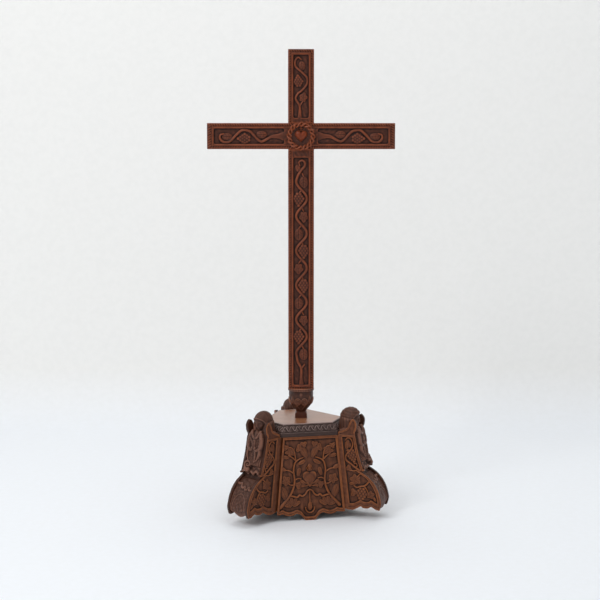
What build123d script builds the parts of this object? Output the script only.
from build123d import *
import os
from math import cos, radians, sin, tan

# Altar cross of carved oak on a hollow three-sided pedestal, in millimetres, +Z up, feet on z = 0.
# The face of the cross looks along -Y and its arms lie along X. The pedestal is worked out about its own
# axis with one panel facing -Y, then turned by base_turn. A pin on that axis carries the cross.

# ---- cross ----
overall_height = 800.0
span = 320.0
beam_width = 44.0
beam_depth = 27.0
bar_centre_height = 654.0
lap_peg_diameter = 5.0
lap_peg_spacing = 20.0
boss_diameter = 44.0
boss_thickness = 2.0
ring_mean_diameter = 42.0
ring_strand = 7.0
heart_width = 21.0
heart_thickness = 4.5

# ---- knop, collar and pin under the cross ----
collar_width = 20.6
collar_height = 10.0
collar_bevel = 2.0
knop_height = 42.0
knop_width = 45.0
knop_depth = 38.0
neck_width = 16.0
pin_diameter = 8.0
pin_clearance = 0.05
pin_depth_in_base = 50.0
pin_depth_in_cross = 70.0
pin_end_gap = 1.0

# ---- pedestal ----
base_height = 166.0
base_turn = 13.0
board_thickness = 21.0
board_to_long_edge = 52.3
board_seat = 4.65
cornice_projection = 12.2
cornice_fillet = 5.0
panel_thickness = 8.0
panel_overhang = 1.7
panel_lean = 8.7
panel_foot_height = 14.4
pendant_flat = 12.0
gap_left = 2.4
gap_right = 1.0

# ---- consoles ----
console_splay = 2.5
console_width = 50.0
cheek_thickness = 5.5
console_inset = 3.4
frame_depth = 46.15
frame_height = 150.0
ledge_depth = 61.65
ledge_height = 87.0
gable_rise = 25.0
back_gable_rise = 9.0
toe_depth = 94.15
toe_height = 34.0
toe_lift = 17.5
face_recess = 5.0
head_depth = 36.0
head_width = 28.0
head_height = 35.0
head_set_out = 32.65
head_lift = 26.0
back_head_size = 0.8

# ---- hidden blocks ----
socket_block_height = 33.0
socket_block_width = 60.0
corner_block_height = 30.0
corner_block_size = 13.0
screw_diameter = 4.0
screw_head_diameter = 8.0
screw_length = 44.0
screw_circle = 40.0

board_underside = base_height - board_thickness
shoulder_gap = 0.3
half_console = console_width / 2
panel_top_reach = board_to_long_edge + cornice_projection - panel_overhang
long_sides = {"front": -90, "right": 30, "left": 150}
corners = {"right": -30 - console_splay, "back": 90, "left": 210 + console_splay}
nodes = {}


def turned(shape, angle):
    """Carry a piece made along +X round the pedestal's axis."""
    return Rot(0, 0, angle + base_turn) * shape


def upright_slice(curves, width):
    """A flat piece in the X-Z plane, as wide as given and centred on Y = 0."""
    face = Plane.XZ * make_face(Curve() + curves)
    return extrude(face, width / 2, both=True)


def meeting(angle_a, reach_a, angle_b, reach_b):
    """Where two sides of the plan cross, each given by the direction it faces and its distance out."""
    a, b = radians(angle_a), radians(angle_b)
    turn = sin(b - a)
    return ((reach_a * sin(b) - reach_b * sin(a)) / turn, (reach_b * cos(a) - reach_a * cos(b)) / turn)


def plan_sides(to_long, to_short):
    """The six sides of the pedestal's plan in order round the axis, as (direction, distance out)."""
    order = []
    for panel, corner in zip(long_sides, corners):
        order += [(long_sides[panel], to_long), (corners[corner], to_short)]
    return order


def hexagon(to_long, to_short):
    sides = plan_sides(to_long, to_short)
    return make_face(Polyline(*[meeting(*a, *b) for a, b in zip(sides, sides[1:] + sides[:1])], close=True))


def panel_reach(height):
    """How far a panel's outer face stands from the axis at a height: it leans out towards the foot."""
    return panel_top_reach + panel_lean * (board_underside - height) / board_underside


def console_back(height):
    """How far the slanting back of a console stands from the axis, just behind the panels' inner faces."""
    inner = panel_reach(height) - panel_thickness
    spread = radians(corners["right"] - long_sides["front"])
    return (inner - half_console * sin(spread)) / cos(spread) - console_inset


# The board rests on the backs of the consoles, and each console's sizes count out from its back.
console_start = console_back(board_underside)
board_to_short_edge = console_start + board_seat
shoulder = board_to_short_edge + cornice_projection + shoulder_gap
frame_reach = console_start + frame_depth
ledge_reach = console_start + ledge_depth
toe_reach = console_start + toe_depth
head_reach = console_start + head_set_out


# ---------------------------------------------------------------- cross
shaft_foot = base_height + collar_height + knop_height
bar_low = bar_centre_height - beam_width / 2
bar_high = bar_centre_height + beam_width / 2
pin_low = base_height - pin_depth_in_base
pin_high = base_height + pin_depth_in_cross
front = -beam_depth / 2


def box_between(low, high):
    size = [b - a for a, b in zip(low, high)]
    middle = [(a + b) / 2 for a, b in zip(low, high)]
    return Pos(*middle) * Box(*size)


def bore(diameter, low, high):
    return Pos(0, 0, (low + high) / 2) * Cylinder(diameter / 2, high - low)


def make_lap_pegs():
    places = [lap_peg_spacing / 2, -lap_peg_spacing / 2]
    peg = Pos(0, 0, bar_centre_height) * Rot(90, 0, 0) * Cylinder(lap_peg_diameter / 2, beam_depth)
    return [Pos(x, 0, x) * peg for x in places]


def make_upright():
    low = (-beam_width / 2, -beam_depth / 2, shaft_foot)
    post = box_between(low, (beam_width / 2, beam_depth / 2, overall_height))
    post -= box_between((-beam_width / 2, front, bar_low), (beam_width / 2, 0, bar_high))
    post -= bore(pin_diameter + 2 * pin_clearance, shaft_foot - 1, pin_high + pin_end_gap)
    return post - make_lap_pegs()


def make_crossbar():
    bar = box_between((-span / 2, -beam_depth / 2, bar_low), (span / 2, beam_depth / 2, bar_high))
    bar -= box_between((-beam_width / 2, 0, bar_low), (beam_width / 2, beam_depth / 2, bar_high))
    return bar - make_lap_pegs()


def facing(shape, y):
    """Turn a piece made flat on X-Y, rising along +Z, so that it rises towards -Y from the given y."""
    return Pos(0, y, bar_centre_height) * Rot(90, 0, 0) * shape


def make_thorn_crown():
    strand = Pos(0, 0, ring_strand * 0.3) * Torus(ring_mean_diameter / 2, ring_strand / 2)
    above = Pos(0, 0, ring_strand) * Box(2 * boss_diameter, 2 * boss_diameter, 2 * ring_strand)
    return facing(strand & above, front - boss_thickness)


def make_heart():
    half = heart_width / 2
    lobe = Pos(half * 0.48, half * 0.35) * Circle(half * 0.52)
    point = Polyline((0, -half), (half * 0.9, half * 0.05), (0, half * 0.9), (-half * 0.9, half * 0.05), close=True)
    outline = make_face(point) + lobe + mirror(lobe, Plane.YZ)
    return facing(extrude(outline, heart_thickness), front - boss_thickness)


def make_knop():
    low = base_height + collar_height
    # height share above the neck, and width as a share of the full knop
    outline = [(0, neck_width / knop_width), (0.12, 0.5), (0.36, 0.86), (0.62, 0.99), (0.84, 1), (1, 0.97)]
    rings = [
        Pos(0, 0, low + knop_height * up) * Ellipse(knop_width / 2 * wide, knop_depth / 2 * wide)
        for up, wide in outline
    ]
    return loft(rings) - bore(pin_diameter + 2 * pin_clearance, low - 1, shaft_foot + 1)


def make_foot_collar():
    block = Pos(0, 0, base_height + collar_height / 2) * Box(collar_width, collar_width, collar_height)
    block = chamfer(block.edges().group_by(Axis.Z)[-1], collar_bevel)
    return block - bore(pin_diameter + 2 * pin_clearance, base_height - 1, base_height + collar_height + 1)


nodes["upright"] = make_upright()
nodes["crossbar"] = make_crossbar()
nodes["lap_pegs"] = Compound(make_lap_pegs())
nodes["crossing_boss"] = facing(
    extrude(Circle(boss_diameter / 2), boss_thickness), front
)
nodes["thorn_crown"] = make_thorn_crown()
nodes["heart"] = make_heart()
nodes["knop"] = make_knop()
nodes["foot_collar"] = make_foot_collar()

# ---------------------------------------------------------------- pin
nodes["pivot_pin"] = bore(pin_diameter, pin_low, pin_high)


# ---------------------------------------------------------------- pedestal
def make_block_screws():
    """Three countersunk screws, up through the socket block into the board."""
    foot = board_underside - socket_block_height
    head = (screw_head_diameter - screw_diameter) / 2
    shank = Pos(0, 0, screw_length / 2) * Cylinder(screw_diameter / 2, screw_length)
    cone = Pos(0, 0, head / 2) * Cone(screw_head_diameter / 2, screw_diameter / 2, head)
    screw = shank + cone
    return [turned(Pos(screw_circle / 2, 0, foot) * screw, angle) for angle in corners.values()]


def make_top_board():
    board = extrude(hexagon(board_to_long_edge, board_to_short_edge), board_thickness)
    board = turned(Pos(0, 0, board_underside) * board, 0)
    board -= bore(pin_diameter + 2 * pin_clearance, board_underside - 1, base_height + 1)
    return board - make_block_screws()


def make_socket_block():
    low = board_underside - socket_block_height
    block = extrude(RegularPolygon(socket_block_width / 2, 6, major_radius=False), socket_block_height)
    block = turned(Pos(0, 0, low) * block, 0)
    block -= bore(pin_diameter + 2 * pin_clearance, pin_low, board_underside + 1)
    return block - make_block_screws()


def make_cornice(reach, angle):
    """One moulding glued to an edge of the board, mitred with its neighbours."""
    out = reach + cornice_projection
    low = board_underside
    ogee_foot = (out - 1.4, low + cornice_fillet + 1.4)
    ogee_head = (reach + 1.6, base_height - 1.2)
    middle = ((ogee_foot[0] + ogee_head[0]) / 2 + 1.0, (ogee_foot[1] + ogee_head[1]) / 2 + 1.0)
    profile = [
        Polyline((reach, base_height), (reach, low), (out, low), (out, low + cornice_fillet), ogee_foot),
        ThreePointArc(ogee_foot, middle, ogee_head),
        Polyline(ogee_head, (reach + 1.6, base_height), (reach, base_height)),
    ]
    bar = turned(upright_slice(profile, 3 * board_to_short_edge), angle)
    inner = plan_sides(board_to_long_edge, board_to_short_edge)
    outer = plan_sides(board_to_long_edge + 2 * cornice_projection, board_to_short_edge + 2 * cornice_projection)
    i = [side[0] for side in inner].index(angle)
    before, after = i - 1, (i + 1) % len(inner)
    plan = [
        meeting(*inner[before], *inner[i]), meeting(*inner[i], *inner[after]),
        meeting(*outer[i], *outer[after]), meeting(*outer[before], *outer[i]),
    ]
    wedge = extrude(make_face(Polyline(*plan, close=True)), board_thickness + 2)
    return bar & turned(Pos(0, 0, low - 1) * wedge, 0)


def panel_outline():
    """Outline across the panel and up it: a flat-footed pendant in the middle, a lobe and a ripple beside it."""
    flat = pendant_flat / 2
    rise = panel_foot_height
    side = panel_reach(0) * 1.1
    right = [
        ThreePointArc((flat, 0), (flat + 4.2, rise * 0.2), (flat + 7.5, rise * 0.48)),
        ThreePointArc((flat + 7.5, rise * 0.48), (flat + 11.5, rise * 0.74), (flat + 18, rise * 0.88)),
        ThreePointArc((flat + 18, rise * 0.88), (flat + 30, rise * 0.64), (flat + 42, rise * 0.95)),
        ThreePointArc((flat + 42, rise * 0.95), (flat + 52, rise * 0.8), (side, rise)),
        Polyline((side, rise), (side, board_underside), (0, board_underside)),
    ]
    left = [curve.mirror(Plane.YZ) for curve in right]
    return make_face(Curve() + right + left + Line((-flat, 0), (flat, 0)))


def make_panel(angle):
    low, high = panel_reach(0), panel_reach(board_underside)
    section = Polyline(
        (low, 0), (high, board_underside), (high - panel_thickness, board_underside),
        (low - panel_thickness, 0), close=True,
    )
    slab = upright_slice([section], 4 * low)
    outline = Plane.YZ * panel_outline()
    slab = turned(slab & extrude(outline, 2 * low), angle)
    neighbours = [direction for direction in corners.values() if cos(radians(direction - angle)) > 0]
    for direction in neighbours:
        gap = gap_right if sin(radians(direction - angle)) > 0 else gap_left
        flank = Pos(2 * low, 0, board_underside / 2) * Box(4 * low, console_width + 2 * gap, 2 * base_height)
        slab -= turned(flank, direction)
    return slab


def make_cheek(angle, side, rise):
    gable_foot = (shoulder, board_underside + 5)
    peak = (frame_reach - 1.5, frame_height + rise)
    ear = (frame_reach + 9, frame_height + rise * 0.62)
    neck = (frame_reach, frame_height)
    step = (ledge_reach - 6, ledge_height - 3)
    toe = (toe_reach, toe_height)
    tip = (toe_reach - 3, toe_lift)
    notch_1 = (toe_reach - 17.5, toe_lift + 5)
    notch_2 = (toe_reach - 36.3, toe_lift + 4.3)
    heel = (panel_reach(toe_lift) * 1.34, toe_lift - 3)
    back_foot = (console_back(toe_lift), toe_lift + 3)
    curves = [
        Polyline(back_foot, (console_back(board_underside), board_underside)),
        Polyline((console_back(board_underside), board_underside), (shoulder, board_underside), gable_foot),
        Spline(
            gable_foot, (frame_reach - 14, frame_height + rise * 0.28), (frame_reach - 7, frame_height + rise * 0.8),
            peak,
        ),
        Spline(peak, (frame_reach + 4.5, frame_height + rise * 0.86), ear),
        ThreePointArc(ear, (frame_reach + 7, frame_height + rise * 0.25), neck),
        Polyline(
            neck, (ledge_reach, ledge_height), (ledge_reach + 2.7, ledge_height + 0.6),
            (ledge_reach + 2.7, ledge_height - 2.4), step,
        ),
        Spline(step, (toe_reach - 19, 71), (toe_reach - 6.3, 54), toe),
        ThreePointArc(toe, (toe_reach - 0.3, (toe_height + toe_lift) / 2), tip),
        ThreePointArc(tip, (toe_reach - 9, toe_lift + 0.8), notch_1),
        ThreePointArc(notch_1, (toe_reach - 26.5, toe_lift + 1.7), notch_2),
        ThreePointArc(notch_2, (toe_reach - 48, toe_lift - 0.6), heel),
        Line(heel, back_foot),
    ]
    cheek = upright_slice(curves, cheek_thickness)
    return turned(Pos(0, side * (half_console - cheek_thickness / 2), 0) * cheek, angle)


def make_console(angle, head_size):
    """Core of a console: a figure under a head, a bracket below it and a foot that swells out to the toe."""
    core_width = console_width - 2 * cheek_thickness
    back_top = (console_back(board_underside), board_underside)
    underside = toe_lift + 6
    chest = (frame_reach - face_recess, frame_height + 4)
    waist = (ledge_reach - face_recess, ledge_height + 8)
    bracket = (ledge_reach - 1, ledge_height + 4)
    swell = (ledge_reach - 3, ledge_height - 7)
    toe = (toe_reach - 5, toe_height)
    curves = [
        Polyline(back_top, (shoulder, board_underside), (shoulder, frame_height + 6), chest, waist, bracket, swell),
        Spline(swell, (toe_reach - 20, 66), (toe_reach - 9, 50), toe),
        Polyline(toe, (toe_reach - 8, underside), (console_back(underside), underside), back_top),
    ]
    core = upright_slice(curves, core_width)
    ball = Sphere(head_height * head_size / 2)
    head = scale(ball, by=(head_depth / head_height, head_width / head_height, 1))
    head = Pos(head_reach, 0, board_underside + head_lift * head_size) * head
    robe_top = Pos(chest[0] - 3, 0, chest[1] - 2) * Ellipse(9, core_width * 0.36)
    robe_foot = Pos(waist[0] - 3, 0, waist[1]) * Ellipse(9, core_width * 0.42)
    return turned(core + head + loft([robe_foot, robe_top]), angle)


def make_corner_blocks():
    """Glue blocks in the six corners of the hollow, under the board."""
    low, high = board_underside - corner_block_height, board_underside
    foot = Pos(0, 0, low) * hexagon(panel_reach(low) - panel_thickness, console_back(low))
    head = Pos(0, 0, high) * hexagon(panel_reach(high) - panel_thickness, console_back(high))
    hollow = loft([foot, head], ruled=True)
    blocks = []
    for vertex in head.vertices():
        corner = Pos(vertex.X, vertex.Y, (low + high) / 2) * Cylinder(corner_block_size, corner_block_height)
        blocks.append(turned(hollow & corner, 0))
    return Compound(blocks)


nodes["top_board"] = make_top_board()
nodes["socket_block"] = make_socket_block()
nodes["block_screws"] = Compound(make_block_screws())
nodes["corner_blocks"] = make_corner_blocks()
for name, angle in long_sides.items():
    nodes[f"panel_{name}"] = make_panel(angle)
    nodes[f"cornice_{name}"] = make_cornice(board_to_long_edge, angle)
for name, angle in corners.items():
    # The console at the back is plainer: a smaller head between low cheeks.
    head_size, rise = (back_head_size, back_gable_rise) if name == "back" else (1, gable_rise)
    nodes[f"console_{name}"] = make_console(angle, head_size)
    nodes[f"cheek_{name}_clockwise"] = make_cheek(angle, -1, rise)
    nodes[f"cheek_{name}_anticlockwise"] = make_cheek(angle, 1, rise)
    nodes[f"corner_cornice_{name}"] = make_cornice(board_to_short_edge, angle)

# The origin goes under the middle of the whole cross, on the plane that it stands on.
boxes = [shape.bounding_box() for shape in nodes.values()]
middle_x = (min(box.min.X for box in boxes) + max(box.max.X for box in boxes)) / 2
middle_y = (min(box.min.Y for box in boxes) + max(box.max.Y for box in boxes)) / 2
os.makedirs("parts", exist_ok=True)
for name, shape in nodes.items():
    export_step(Pos(-middle_x, -middle_y, 0) * shape, f"parts/{name}.step")
print(f"axis of the pin at {-middle_x:.4f}, {-middle_y:.4f}")
